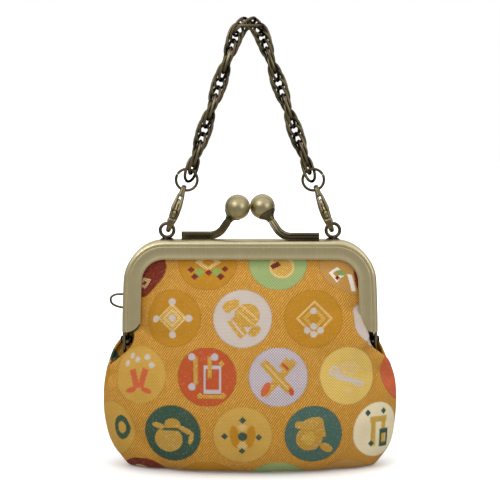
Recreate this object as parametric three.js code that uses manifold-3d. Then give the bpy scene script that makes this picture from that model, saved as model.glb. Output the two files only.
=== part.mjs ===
// Clasp purse: a cloth pouch on a hinged brass frame that two kissing balls hold shut,
// carried on a twisted chain. Millimetres, +Z up, the front towards -Y.
// The origin is the hang point, under the top link of the chain.
import * as THREE from 'three';
import { mergeVertices } from 'three/addons/utils/BufferGeometryUtils.js';
import Module from 'manifold-3d';

const wasm = await Module();
wasm.setup();

// Frame: two arched channels of folded sheet, one on each side of a split plane
const FRAME_HALF_WIDTH = 42.7;
const FRAME_TOP = -71.0;
const FRAME_BAND = 6.3;
const FRAME_CORNER = 13.5;
const FRAME_DEPTH = 5.0;
const FRAME_SPLIT = 0.2;
const FRAME_SHEET = 0.9;
const FRAME_SHOULDER = 1.3;
const LEG_END = -101.5;
const LEG_ROUNDING = 5.0;

// Hinge under each leg: an outer ear on the front half, an inner ear on the back half, one rivet
const HINGE_Z = -104.7;
const EAR_ROUND = 2.1;
const EAR_RISE = 3.0;
const OUTER_EAR = { from: 41.8, to: 42.7, nearY: 0.4, farY: 3.8 };
const INNER_EAR = { from: 40.6, to: 41.4, nearY: 0.4, farY: 2.2 };
const RIVET_HOLE = 0.95;
const RIVET_PROFILE = [
  { along: 39.6, radius: 0 },
  { along: 39.75, radius: 1.1 },
  { along: 40.35, radius: 1.35 },
  { along: 40.35, radius: 0.7 },
  { along: 43.0, radius: 0.7 },
  { along: 43.0, radius: 1.35 },
  { along: 43.5, radius: 1.1 },
  { along: 43.65, radius: 0 },
];

// Kiss lock: a rail on each half, a bent stem and a ball in a small cup
const RAIL = { fromX: 23.0, toX: 11.8, height: 2.6, width: 2.6 };
const BALL_RADIUS = 3.95;
const BALL = new THREE.Vector3(-4.15, -1.4, -59.9);
const STEM_RADIUS = 1.1;
const STEM_ROUTE = [
  new THREE.Vector3(-12.6, 2.7, -69.7),
  new THREE.Vector3(-9.6, 2.5, -69.0),
  new THREE.Vector3(-7.4, 1.2, -66.6),
  new THREE.Vector3(-5.6, -0.4, -63.4),
];
const CUP_PROFILE = [
  { along: -5.4, radius: 0 },
  { along: -5.0, radius: 1.25 },
  { along: -3.9, radius: 1.75 },
  { along: -3.1, radius: 2.3 },
  { along: -2.6, radius: 0 },
];

// Chain hardware on the back half of the frame
const EYELET = { x: 27.4, rise: 3.0, ring: 2.35, wire: 0.5, foot: 1.5 };
const SIDE_LOOP_WIRE = 0.29;
const SIDE_LOOP_HOLE = 0.55;
const SIDE_LOOP_ROUTE = [
  { x: -41.55, z: -89.6 },
  { x: -43.4, z: -89.6 },
  { x: -46.0, z: -90.0 },
  { x: -47.1, z: -91.8 },
  { x: -46.0, z: -93.5 },
  { x: -43.4, z: -94.2 },
  { x: -41.55, z: -94.2 },
];

// Lobster clasp, drawn flat: x across the hook, y from the hook's end to the eye, z its thickness
const HOOK_RADIUS = 3.6;
const HOOK_WIRE = 1.6;
const HOOK_INSIDE_END = 7.3;
const HOOK_LIFT = 0.3;
const SHOULDER_PULL = 8.5;
const GATE_CUT = { from: 4.8, to: 7.6, inner: -1.0, outer: -4.4 };
const CLASP_SLOT = { from: 7.2, to: 12.9, half: 0.75 };
const CLASP_EYE = { radius: 1.8, hole: 1.05, ringSlack: 0.25 };
const CLASP_THICKNESS = [
  { along: -0.1, half: 0.7 },
  { along: 0.6, half: 0.85 },
  { along: 2.2, half: 0.9 },
  { along: 3.4, half: 1.3 },
  { along: 6.0, half: 1.55 },
  { along: 9.0, half: 1.55 },
  { along: 12.9, half: 1.15 },
  { along: 13.8, half: 0.85 },
  { along: 17.0, half: 0.75 },
];
const LEVER_PIVOT = { x: -1.6, y: 9.2 };
const LEVER_HUB = 1.1;
const LEVER_HOLE = 0.72;
const LEVER_PIN = 0.45;
const LEVER_HALF_THICKNESS = 0.45;
const LEVER_OUTLINE = [
  { x: -3.45, y: 7.9 },
  { x: -4.6, y: 7.7 },
  { x: -4.9, y: 7.1 },
  { x: -4.4, y: 6.6 },
  { x: -3.5, y: 6.6 },
  { x: -3.35, y: 5.15 },
  { x: -2.0, y: 5.15 },
  { x: -1.9, y: 7.3 },
];

// Jump ring, and the chain of oval links that turn a little from one to the next
const RING_RADIUS = 3.67;
const RING_WIRE = 0.4;
const RING_TILT = THREE.MathUtils.degToRad(25.5);
const CHAIN_LEAN = THREE.MathUtils.degToRad(17.7);
const CHAIN_BEND = 5.0;
const CHAIN_BEND_Z = -2.6;
const CHAIN_TO_RING = 55.25;
const LINKS = 41;
const LINK_WIRE = 0.46;
const LINK_SIDE = 2.1;
const LINK_SIDES = 10;
const LINK_HOOKED = 0.66;
const LINK_END_TURN = 40;
const LINK_HALF_TURNS = 7;

// Bag: one row for each level from the channel of the frame down to the seam under the base
const CLOTH = 1.4;
// Columns of a panel from its middle to its side edge, as shares of the half width; one is at the lip
const BAG_COLUMNS = [0, 0.22, 0.44, 0.63, 0.78, 0.875, 0.97, 1];
const BAG_ROUNDNESS = { power: 2.2, root: 0.6 };
const LIP_EASE = { from: 3.0, to: 6.8 };
const BAG_ROWS = [
  { z: -72.8, front: 31.9, back: 31.9, depth: 4.0, edge: 4.0, inFrame: true },
  { z: -75.0, front: 36.4, back: 36.4, depth: 4.0, edge: 4.0, inFrame: true },
  { z: -77.9, front: 39.2, back: 39.2, depth: 4.2, edge: 4.0, inFrame: true },
  { z: -83.5, front: 40.9, back: 40.9, depth: 7.6, edge: 4.0, inFrame: true },
  { z: -90.0, front: 41.0, back: 41.0, depth: 10.4, edge: 4.0, inFrame: true },
  { z: -96.0, front: 40.7, back: 40.7, depth: 12.4, edge: 4.0, inFrame: true },
  { z: -102.0, front: 39.6, back: 39.6, depth: 14.0, edge: 4.0, inFrame: true },
  { z: -104.9, front: 41.2, back: 44.2, depth: 14.8, edge: 4.5 },
  { z: -107.6, front: 43.4, back: 45.9, depth: 15.5, edge: 3.6 },
  { z: -110.2, front: 47.0, back: 47.0, depth: 16.1, edge: 0 },
  { z: -114.4, front: 48.5, back: 48.5, depth: 16.9, edge: 0 },
  { z: -121.0, front: 49.5, back: 49.5, depth: 18.0, edge: 0 },
  { z: -129.0, front: 49.3, back: 49.3, depth: 18.6, edge: 0 },
  { z: -136.0, front: 47.6, back: 47.6, depth: 18.1, edge: 0 },
  { z: -140.8, front: 45.0, back: 45.0, depth: 17.1, edge: 0 },
  { z: -144.5, front: 41.5, back: 41.5, depth: 15.4, edge: 0 },
  { z: -146.8, front: 38.0, back: 38.0, depth: 13.4, edge: 0 },
  { z: -147.6, front: 34.8, back: 34.8, depth: 11.2, edge: 0 },
  { z: -147.6, front: 33.2, back: 33.2, depth: 0, edge: 0 },
];
// Soft dents in both panels, on the left and on the right: the crease below a leg, a dart at a
// bottom corner and the shallow gathers under the frame's top
const FOLDS = [
  { fromX: 35.0, fromZ: -97, toX: 46.5, toZ: -117, width: 3.2, depth: 1.4 },
  { fromX: 28.0, fromZ: -147, toX: 36.0, toZ: -137, width: 3.0, depth: 0.8 },
  { fromX: 24.0, fromZ: -81, toX: 27.0, toZ: -104, width: 3.5, depth: 0.6 },
  { fromX: 8.0, fromZ: -81, toX: 7.0, toZ: -98, width: 3.5, depth: 0.5 },
];

// Colours and finishes
const BRASS = { color: 0x9e946e, roughness: 0.4, metalness: 1 };
const DARK_BRASS = { color: 0x6e6450, roughness: 0.45, metalness: 1 };
const CHAIN_BRASS = { color: 0x4b4230, roughness: 0.4, metalness: 1 };
const BROCADE = { color: 0xd69834, roughness: 0.75, metalness: 0 };

const WELD = 1e-4;
const ROUND_SIDES = 8;
const CURVE_STEPS = 3;
const HALF_TURN = Math.PI;
const FULL_TURN = 2 * Math.PI;
const FRAME_MID = FRAME_SPLIT + FRAME_DEPTH / 2;
const FRAME_FACE = FRAME_SPLIT + FRAME_DEPTH;

// Directions in which a flat outline is drawn and drawn out: across, up, and along its depth
const ALONG_Y = new THREE.Matrix4().set(1, 0, 0, 0, 0, 0, -1, 0, 0, 1, 0, 0, 0, 0, 0, 1);
const ALONG_X = new THREE.Matrix4().set(0, 0, 1, 0, 1, 0, 0, 0, 0, 1, 0, 0, 0, 0, 0, 1);
const ALONG_HOOK = new THREE.Matrix4().set(0, 0, -1, 0, 0, 1, 0, 0, 1, 0, 0, 0, 0, 0, 0, 1);

// A closed geometry as a solid that can be joined and cut
function solid(geometry) {
  geometry.deleteAttribute('normal');
  geometry.deleteAttribute('uv');
  const merged = mergeVertices(geometry, WELD);
  const corners = [];
  const index = merged.index.array;
  for (let i = 0; i < index.length; i += 3) {
    const [a, b, c] = index.slice(i, i + 3);
    if (a !== b && b !== c && c !== a) corners.push(a, b, c);
  }
  const vertProperties = new Float32Array(merged.attributes.position.array);
  const triVerts = new Uint32Array(corners);
  return new wasm.Manifold(new wasm.Mesh({ numProp: 3, vertProperties, triVerts }));
}

// A named piece of the purse from a solid
function piece(name, shape, finish) {
  const { vertProperties, triVerts } = shape.getMesh();
  const geometry = new THREE.BufferGeometry();
  geometry.setAttribute('position', new THREE.BufferAttribute(new Float32Array(vertProperties), 3));
  geometry.setIndex(new THREE.BufferAttribute(new Uint32Array(triVerts), 1));
  geometry.computeVertexNormals();
  const mesh = new THREE.Mesh(geometry, new THREE.MeshStandardMaterial(finish));
  mesh.name = name;
  return mesh;
}

function disc(radius, sides = ROUND_SIDES, x = 0, y = 0) {
  const points = [];
  for (let i = 0; i < sides; i += 1) {
    const turn = FULL_TURN * (i + 0.5) / sides;
    points.push(new THREE.Vector2(x + radius * Math.cos(turn), y + radius * Math.sin(turn)));
  }
  return new THREE.Shape(points);
}

function outline(points) {
  return new THREE.Shape(points.map(({ x, y }) => new THREE.Vector2(x, y)));
}

function rectangle(x0, y0, x1, y1) {
  return outline([{ x: x0, y: y0 }, { x: x1, y: y0 }, { x: x1, y: y1 }, { x: x0, y: y1 }]);
}

// A flat outline drawn out from one depth to another, then laid along an axis
function prism(shape, from, to, axes = new THREE.Matrix4(), curveSegments = CURVE_STEPS) {
  const geometry = new THREE.ExtrudeGeometry(shape, { depth: to - from, bevelEnabled: false, curveSegments });
  return solid(geometry.translate(0, 0, from).applyMatrix4(axes));
}

// An outline in the XZ plane, drawn out from y0 to y1
function upright(shape, y0, y1) {
  return prism(shape, -y1, -y0, ALONG_Y);
}

function tube(route, radius, sides, steps) {
  const extrudePath = new THREE.CatmullRomCurve3(route);
  return solid(new THREE.ExtrudeGeometry(disc(radius, sides), { steps, extrudePath }));
}

// A turned shape about an axis through a point
function turned(profile, centre, axis) {
  const points = profile.map(({ along, radius }) => new THREE.Vector2(radius, along));
  const geometry = new THREE.LatheGeometry(points, ROUND_SIDES);
  const turn = new THREE.Quaternion().setFromUnitVectors(new THREE.Vector3(0, 1, 0), axis);
  return solid(geometry.applyQuaternion(turn).translate(centre.x, centre.y, centre.z));
}

function wireRing(radius, wire, sides, wireSides) {
  return new THREE.TorusGeometry(radius, wire, wireSides, sides);
}

// The arch of the frame between two insets from its outer edge, with legs down to a level
function archOutline(outerInset, innerInset, bottom) {
  const outer = FRAME_HALF_WIDTH - outerInset;
  const inner = FRAME_HALF_WIDTH - innerInset;
  const cornerX = FRAME_HALF_WIDTH - FRAME_CORNER;
  const cornerZ = FRAME_TOP - FRAME_CORNER;
  const shape = new THREE.Shape();
  shape.moveTo(-inner, bottom);
  shape.lineTo(-inner, cornerZ);
  shape.absarc(-cornerX, cornerZ, FRAME_CORNER - innerInset, HALF_TURN, HALF_TURN / 2, true);
  shape.absarc(cornerX, cornerZ, FRAME_CORNER - innerInset, HALF_TURN / 2, 0, true);
  shape.lineTo(inner, bottom);
  shape.lineTo(outer, bottom);
  shape.absarc(cornerX, cornerZ, FRAME_CORNER - outerInset, 0, HALF_TURN / 2, false);
  shape.absarc(-cornerX, cornerZ, FRAME_CORNER - outerInset, HALF_TURN / 2, HALF_TURN, false);
  shape.lineTo(-outer, bottom);
  return shape;
}

// The whole area under the arch with its face edge rounded, cut to the band of the frame
function roundedArch() {
  const cornerX = FRAME_HALF_WIDTH - FRAME_CORNER;
  const cornerZ = FRAME_TOP - FRAME_CORNER;
  const below = LEG_END - 2 * FRAME_BAND;
  const shape = new THREE.Shape();
  shape.moveTo(-FRAME_HALF_WIDTH, below);
  shape.lineTo(FRAME_HALF_WIDTH, below);
  shape.absarc(cornerX, cornerZ, FRAME_CORNER, 0, HALF_TURN / 2, false);
  shape.absarc(-cornerX, cornerZ, FRAME_CORNER, HALF_TURN / 2, HALF_TURN, false);
  const geometry = new THREE.ExtrudeGeometry(shape, {
    depth: FRAME_DEPTH,
    bevelThickness: FRAME_SHOULDER,
    bevelSize: FRAME_SHOULDER,
    bevelOffset: -FRAME_SHOULDER,
    bevelSegments: 2,
    curveSegments: CURVE_STEPS,
  });
  geometry.translate(0, 0, FRAME_SHOULDER - FRAME_FACE).applyMatrix4(ALONG_Y);
  const band = archOutline(-FRAME_SHEET, FRAME_BAND, LEG_END);
  return solid(geometry).intersect(upright(band, FRAME_SPLIT, FRAME_FACE + FRAME_SHEET));
}

// What is taken off the inner corner of a leg's end
function legCorner(side) {
  const inner = FRAME_HALF_WIDTH - FRAME_BAND;
  const past = 1;
  const shape = new THREE.Shape();
  shape.moveTo(side * (inner - past), LEG_END - past);
  shape.lineTo(side * (inner + LEG_ROUNDING), LEG_END - past);
  shape.lineTo(side * (inner + LEG_ROUNDING), LEG_END);
  shape.quadraticCurveTo(side * inner, LEG_END, side * inner, LEG_END + LEG_ROUNDING);
  shape.lineTo(side * (inner - past), LEG_END + LEG_ROUNDING);
  return upright(shape, 0, FRAME_FACE + past);
}

// One half of the frame, behind the split plane: a channel that is open towards the cloth
function frameHalf() {
  const channel = archOutline(FRAME_SHEET, 2 * FRAME_BAND, LEG_END - FRAME_BAND);
  const hollow = upright(channel, FRAME_SPLIT + FRAME_SHEET, FRAME_FACE - FRAME_SHEET);
  let half = roundedArch().subtract(hollow);
  for (const side of [-1, 1]) half = half.subtract(legCorner(side));
  return half.add(ballArm());
}

// A plate that hangs from the leg to the hinge, with a round end and a hole for the rivet
function hingeEar(ear, side) {
  const shape = new THREE.Shape();
  shape.moveTo(ear.nearY, LEG_END + EAR_RISE);
  shape.lineTo(ear.farY, LEG_END + EAR_RISE);
  shape.lineTo(ear.farY, LEG_END);
  shape.lineTo(EAR_ROUND, HINGE_Z);
  shape.absarc(0, HINGE_Z, EAR_ROUND, 0, -HALF_TURN, true);
  shape.lineTo(ear.nearY, LEG_END - EAR_ROUND / 2);
  shape.holes.push(disc(RIVET_HOLE, ROUND_SIDES, 0, HINGE_Z));
  const [from, to] = side > 0 ? [ear.from, ear.to] : [-ear.to, -ear.from];
  return prism(shape, from, to, ALONG_X);
}

// The rail, stem, cup and ball of the left arm, soldered to the back half
function ballArm() {
  const rail = rectangle(-RAIL.fromX, FRAME_TOP - FRAME_SHEET / 2, -RAIL.toX, FRAME_TOP + RAIL.height);
  const seat = STEM_ROUTE.at(-1);
  const axis = BALL.clone().sub(seat).normalize();
  const ball = new THREE.SphereGeometry(BALL_RADIUS, 12, 8).translate(BALL.x, BALL.y, BALL.z);
  return upright(rail, FRAME_MID - RAIL.width / 2, FRAME_MID + RAIL.width / 2)
    .add(tube(STEM_ROUTE, STEM_RADIUS, 8, 6))
    .add(turned(CUP_PROFILE, BALL, axis))
    .add(solid(ball));
}

// A ring on a short flared foot, for a clasp to hook into
function eyelet(side) {
  const ring = wireRing(EYELET.ring, EYELET.wire, 12, 5).applyMatrix4(ALONG_Y);
  const foot = [
    { along: -EYELET.rise - FRAME_SHEET / 2, radius: 0 },
    { along: -EYELET.rise - FRAME_SHEET / 2, radius: EYELET.foot },
    { along: -EYELET.rise + EYELET.wire, radius: EYELET.wire },
    { along: -EYELET.rise + EYELET.wire, radius: 0 },
  ];
  const centre = new THREE.Vector3(side * EYELET.x, FRAME_MID, FRAME_TOP + EYELET.rise);
  const stand = turned(foot, centre, new THREE.Vector3(0, 0, 1));
  return solid(ring.translate(centre.x, centre.y, centre.z)).add(stand);
}

function backFrame() {
  let frame = frameHalf();
  for (const side of [-1, 1]) frame = frame.add(hingeEar(INNER_EAR, side)).add(eyelet(side));
  for (const { x, z } of [SIDE_LOOP_ROUTE.at(0), SIDE_LOOP_ROUTE.at(-1)]) {
    const hole = disc(SIDE_LOOP_HOLE, 8, FRAME_MID, z);
    frame = frame.subtract(prism(hole, -FRAME_HALF_WIDTH - FRAME_SHEET, x + FRAME_SHEET, ALONG_X));
  }
  return frame;
}

// The front half is the back half turned about the upright axis, with ears of its own
function frontFrame() {
  let frame = frameHalf();
  for (const side of [-1, 1]) frame = frame.add(hingeEar(OUTER_EAR, side));
  return frame.rotate([0, 0, 180]);
}

function hingeRivet(side) {
  return turned(RIVET_PROFILE, new THREE.Vector3(0, 0, HINGE_Z), new THREE.Vector3(side, 0, 0));
}

function sideLoop() {
  const route = SIDE_LOOP_ROUTE.map(({ x, z }) => new THREE.Vector3(x, FRAME_MID, z));
  return tube(route, SIDE_LOOP_WIRE, 5, 12);
}

// How far a place in the frame's plane lies inside the lip of the channel
function insideLip(x, z) {
  const cornerX = Math.max(0, Math.abs(x) - (FRAME_HALF_WIDTH - FRAME_CORNER));
  const cornerZ = Math.max(0, z - (FRAME_TOP - FRAME_CORNER));
  return FRAME_CORNER - FRAME_BAND - Math.hypot(cornerX, cornerZ);
}

function foldDent(x, z) {
  let dent = 0;
  for (const fold of FOLDS) {
    const line = new THREE.Line3(
      new THREE.Vector3(fold.fromX, 0, fold.fromZ),
      new THREE.Vector3(fold.toX, 0, fold.toZ),
    );
    const place = new THREE.Vector3(Math.abs(x), 0, z);
    const away = line.closestPointToPoint(place, true, new THREE.Vector3()).distanceTo(place);
    dent += fold.depth * Math.exp(-((away / fold.width) ** 2));
  }
  return dent;
}

// A place on the outside of the front (face -1) or back (face 1) panel; reach runs from -1 to 1
function bagPoint(row, face, reach) {
  const half = face < 0 ? row.front : row.back;
  const x = half * reach;
  const round = (1 - Math.abs(reach) ** BAG_ROUNDNESS.power) ** BAG_ROUNDNESS.root;
  const ease = row.inFrame ? THREE.MathUtils.smoothstep(insideLip(x, row.z), LIP_EASE.from, LIP_EASE.to) : 1;
  const swell = (row.depth - row.edge) * round * ease;
  const dent = Math.min(foldDent(x, row.z), 0.3 * swell);
  return new THREE.Vector3(x, face * (row.edge + swell - dent), row.z);
}

// The outer surface of the bag, both panels welded along the side seams and the base
function bagSurface() {
  const positions = [];
  const corners = [];
  const reaches = [...BAG_COLUMNS.slice(1).map((reach) => -reach).reverse(), ...BAG_COLUMNS];
  for (const face of [-1, 1]) {
    const start = positions.length / 3;
    for (const row of BAG_ROWS) {
      for (const reach of reaches) positions.push(...bagPoint(row, face, reach).toArray());
    }
    for (let row = 0; row + 1 < BAG_ROWS.length; row += 1) {
      for (let column = 0; column + 1 < reaches.length; column += 1) {
        const a = start + row * reaches.length + column;
        const [b, c, d] = [a + reaches.length, a + reaches.length + 1, a + 1];
        if (face < 0) corners.push(a, b, c, a, c, d);
        else corners.push(a, c, b, a, d, c);
      }
    }
  }
  const geometry = new THREE.BufferGeometry();
  geometry.setAttribute('position', new THREE.Float32BufferAttribute(positions, 3));
  geometry.setIndex(corners);
  const welded = mergeVertices(geometry, WELD);
  welded.computeVertexNormals();
  return welded;
}

// A wall of even thickness inside a surface, closed along the surface's open edges
function thickened(surface, thickness) {
  const outside = surface.attributes.position;
  const normals = surface.attributes.normal;
  const positions = [...outside.array];
  for (let i = 0; i < outside.count; i += 1) {
    for (let axis = 0; axis < 3; axis += 1) {
      positions.push(outside.getComponent(i, axis) - thickness * normals.getComponent(i, axis));
    }
  }
  const index = surface.index.array;
  const corners = [...index];
  const edges = new Map();
  for (let i = 0; i < index.length; i += 3) {
    const [a, b, c] = index.slice(i, i + 3);
    corners.push(a + outside.count, c + outside.count, b + outside.count);
    for (const [from, to] of [[a, b], [b, c], [c, a]]) {
      if (!edges.delete(`${to} ${from}`)) edges.set(`${from} ${to}`, [from, to]);
    }
  }
  for (const [from, to] of edges.values()) {
    corners.push(to, from, from + outside.count, to, from + outside.count, to + outside.count);
  }
  const geometry = new THREE.BufferGeometry();
  geometry.setAttribute('position', new THREE.Float32BufferAttribute(positions, 3));
  geometry.setIndex(corners);
  return solid(geometry);
}

// The flat outline of a clasp: a hook, drawn in towards the eye
function claspBody(length) {
  const eyeY = length - CLASP_EYE.radius;
  const inside = HOOK_RADIUS - HOOK_WIRE;
  const shape = new THREE.Shape();
  shape.moveTo(HOOK_RADIUS, HOOK_RADIUS);
  shape.quadraticCurveTo(HOOK_RADIUS, SHOULDER_PULL, CLASP_EYE.radius, eyeY);
  shape.absarc(0, eyeY, CLASP_EYE.radius, 0, HALF_TURN, false);
  shape.quadraticCurveTo(-HOOK_RADIUS, SHOULDER_PULL, -HOOK_RADIUS, HOOK_RADIUS);
  shape.absarc(0, HOOK_RADIUS, HOOK_RADIUS, HALF_TURN, FULL_TURN, false);
  const hollow = new THREE.Path();
  hollow.moveTo(inside, HOOK_INSIDE_END);
  hollow.lineTo(-inside, HOOK_INSIDE_END);
  hollow.absarc(0, HOOK_RADIUS, inside, HALF_TURN, FULL_TURN, false);
  shape.holes.push(hollow, disc(CLASP_EYE.hole, 8, 0, eyeY));
  const thickest = Math.max(...CLASP_THICKNESS.map(({ half }) => half));
  const edge = [
    ...CLASP_THICKNESS.map(({ along, half }) => ({ x: half, y: along })),
    ...CLASP_THICKNESS.toReversed().map(({ along, half }) => ({ x: -half, y: along })),
  ];
  const gate = rectangle(GATE_CUT.outer, GATE_CUT.from, GATE_CUT.inner, GATE_CUT.to);
  const slot = rectangle(-2 * HOOK_RADIUS, CLASP_SLOT.from, 2 * HOOK_RADIUS, CLASP_SLOT.to);
  const pin = disc(LEVER_PIN, 8, LEVER_PIVOT.x, LEVER_PIVOT.y);
  const pinEnd = thickest - LEVER_PIN / 2;
  return prism(shape, -thickest, thickest)
    .intersect(prism(outline(edge), -HOOK_RADIUS - 1, HOOK_RADIUS + 1, ALONG_HOOK))
    .subtract(prism(gate, -2 * thickest, 2 * thickest))
    .subtract(prism(slot, -CLASP_SLOT.half, CLASP_SLOT.half))
    .add(prism(pin, -pinEnd, pinEnd));
}

// The gate that shuts the hook, its thumb tab and the hub that turns on the pin
function claspLever() {
  const arm = outline([
    ...LEVER_OUTLINE,
    { x: LEVER_PIVOT.x + LEVER_HUB, y: LEVER_PIVOT.y - LEVER_HUB / 4 },
    { x: LEVER_PIVOT.x - LEVER_HUB, y: LEVER_PIVOT.y },
  ]);
  const hub = disc(LEVER_HUB, 8, LEVER_PIVOT.x, LEVER_PIVOT.y);
  const hole = disc(LEVER_HOLE, 8, LEVER_PIVOT.x, LEVER_PIVOT.y);
  const half = LEVER_HALF_THICKNESS;
  return prism(arm, -half, half).add(prism(hub, -half, half)).subtract(prism(hole, -2 * half, 2 * half));
}

// A place on the chain's line, at a distance from its top; negative distances are on the left
function chainPoint(distance) {
  const bendTurn = HALF_TURN / 2 - CHAIN_LEAN;
  const turn = Math.min(Math.abs(distance) / CHAIN_BEND, bendTurn);
  const straight = Math.abs(distance) - turn * CHAIN_BEND;
  const x = CHAIN_BEND * Math.sin(turn) + straight * Math.sin(CHAIN_LEAN);
  const z = CHAIN_BEND_Z + CHAIN_BEND * Math.cos(turn) - straight * Math.cos(CHAIN_LEAN);
  return new THREE.Vector3(Math.sign(distance) * x, 0, z);
}

// An oval link: a wire ring pulled apart along Y
function linkGeometry(halfLength) {
  const geometry = wireRing(LINK_SIDE, LINK_WIRE, LINK_SIDES, 5).rotateZ(HALF_TURN / LINK_SIDES);
  const places = geometry.attributes.position;
  for (let i = 0; i < places.count; i += 1) {
    const y = places.getY(i);
    places.setY(i, y + Math.sign(y) * (halfLength - LINK_SIDE));
  }
  return geometry;
}

// Each link hooks the third link before it. The jump ring passes through the last two links.
function chain() {
  const steps = LINKS - 1;
  const pitch = (2 * CHAIN_TO_RING - LINK_HOOKED) / steps;
  const halfLength = (3 * pitch + LINK_HOOKED) / 2;
  const twist = (LINK_HALF_TURNS * 180 - 2 * LINK_END_TURN) / steps;
  const links = [];
  for (let i = 0; i < LINKS; i += 1) {
    const middle = (i - steps / 2) * pitch;
    const from = chainPoint(middle - halfLength);
    const to = chainPoint(middle + halfLength);
    const along = to.clone().sub(from).normalize();
    const back = new THREE.Vector3(0, 1, 0);
    const across = along.clone().cross(back);
    const turn = new THREE.Matrix4().makeRotationY(THREE.MathUtils.degToRad(LINK_END_TURN + i * twist));
    const place = new THREE.Matrix4().makeBasis(across, along, back);
    place.setPosition(from.add(to).multiplyScalar(0.5));
    links.push(solid(linkGeometry(halfLength).applyMatrix4(turn).applyMatrix4(place)));
  }
  return wasm.Manifold.union(links);
}

const purse = new THREE.Group();
purse.add(piece('chain', chain(), CHAIN_BRASS));

// The frame and the bag lie about the split plane, forward of the chain and its eyelets
const frameGroup = new THREE.Group();
frameGroup.position.y = -FRAME_MID;
frameGroup.add(
  piece('front_frame', frontFrame(), BRASS),
  piece('back_frame', backFrame(), BRASS),
  piece('side_loop', sideLoop(), DARK_BRASS),
  piece('bag', thickened(bagSurface(), CLOTH), BROCADE),
);
for (const [name, side] of [['left', -1], ['right', 1]]) {
  frameGroup.add(piece(`hinge_rivet_${name}`, hingeRivet(side), DARK_BRASS));
}
purse.add(frameGroup);

// A clasp hooks through its eyelet and points at the middle of its jump ring
for (const [name, side] of [['left', -1], ['right', 1]]) {
  const ringCentre = chainPoint(side * CHAIN_TO_RING);
  ringCentre.x += side * RING_RADIUS * Math.sin(RING_TILT);
  ringCentre.z -= RING_RADIUS * Math.cos(RING_TILT);
  const ring = solid(wireRing(RING_RADIUS, RING_WIRE, 14, 5).applyMatrix4(ALONG_Y));
  const ringPiece = piece(`${name}_jump_ring`, ring, DARK_BRASS);
  ringPiece.position.copy(ringCentre);

  const hooked = new THREE.Vector3(side * EYELET.x, 0, FRAME_TOP + EYELET.rise + HOOK_LIFT);
  const along = ringCentre.clone().sub(hooked).normalize();
  const hookEnd = hooked.clone().addScaledVector(along, -HOOK_WIRE / 2);
  const toWire = ringCentre.distanceTo(hookEnd) - RING_RADIUS;
  const length = toWire - CLASP_EYE.ringSlack + CLASP_EYE.radius;
  const clasp = new THREE.Group();
  const across = new THREE.Vector3(0, 1, 0);
  const axes = new THREE.Matrix4().makeBasis(across, along, across.clone().cross(along));
  clasp.quaternion.setFromRotationMatrix(axes);
  clasp.position.copy(hookEnd);
  clasp.add(
    piece(`${name}_clasp_body`, claspBody(length), DARK_BRASS),
    piece(`${name}_clasp_lever`, claspLever(), BRASS),
  );
  purse.add(ringPiece, clasp);
}

export default purse;
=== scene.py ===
from collections import namedtuple
from functools import partial
from itertools import accumulate
from math import copysign, cos, exp, hypot, pi, radians, sin, sqrt

import bmesh
import bpy
from mathutils import Matrix, Vector, noise


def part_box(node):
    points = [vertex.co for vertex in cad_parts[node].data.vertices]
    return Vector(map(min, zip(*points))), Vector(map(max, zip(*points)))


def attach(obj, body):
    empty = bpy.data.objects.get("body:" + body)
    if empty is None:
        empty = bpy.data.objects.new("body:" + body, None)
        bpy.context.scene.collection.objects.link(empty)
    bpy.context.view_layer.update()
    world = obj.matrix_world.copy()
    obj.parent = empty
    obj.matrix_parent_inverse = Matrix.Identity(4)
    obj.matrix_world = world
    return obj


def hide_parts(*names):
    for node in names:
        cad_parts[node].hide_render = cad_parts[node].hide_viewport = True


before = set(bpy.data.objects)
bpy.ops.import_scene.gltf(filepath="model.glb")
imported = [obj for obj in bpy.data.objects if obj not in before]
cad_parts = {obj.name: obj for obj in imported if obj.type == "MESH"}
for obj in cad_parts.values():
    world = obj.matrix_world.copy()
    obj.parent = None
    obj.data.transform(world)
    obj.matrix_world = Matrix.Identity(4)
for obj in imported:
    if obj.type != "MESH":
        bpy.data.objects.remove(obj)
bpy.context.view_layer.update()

# Frame halves
# Two arched channels of brass sheet that grip the cloth between their folded edges. Each face is
# brushed, with a rounded shoulder along the outer edge and a fine groove beside the shoulder.
MM = 0.001


def box_mm(node):
    """The lowest and highest corners of a CAD node, in millimetres."""
    return [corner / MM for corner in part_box(node)]


hinge = sum(box_mm("hinge_rivet_left"), Vector()) / 2
SPLIT_Y = hinge.y
HINGE_Z = hinge.z
FRAME_HALF_WIDTH = box_mm("front_frame")[1].x
FRAME_TOP = -71.0
FRAME_BAND = 6.3
FRAME_CORNER = 13.5
FRAME_SPLIT = 0.2
FRAME_FACE = 5.06
SHOULDER = 1.3
SHOULDER_RISE = 0.14
SHEET = 0.9
FOLD_CUT = 0.4
LIP_ROLL = 0.38
LEG_END = -101.5
LEG_ROUNDING = 5.0
FRAME_LEAN = 0.022
LEG_STEPS = 6
CORNER_STEPS = 16
TOP_STEPS = 12
WELD = 1e-4


def arc(centre, radius, start, end, steps):
    """Points on a round stretch from one angle to another, in degrees."""
    turns = [radians(start + (end - start) * step / steps) for step in range(steps + 1)]
    return [(centre[0] + radius * cos(turn), centre[1] + radius * sin(turn)) for turn in turns]


def closed_ring(bm, places):
    """Vertices joined in a ring, ready to be drawn out."""
    ring = [bm.verts.new(place) for place in places]
    return ring + [bm.edges.new(pair) for pair in zip(ring, ring[1:] + ring[:1])]


def verts_of(geometry):
    return [part for part in geometry if isinstance(part, bmesh.types.BMVert)]


def edges_of(geometry):
    return [part for part in geometry if isinstance(part, bmesh.types.BMEdge)]


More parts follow.
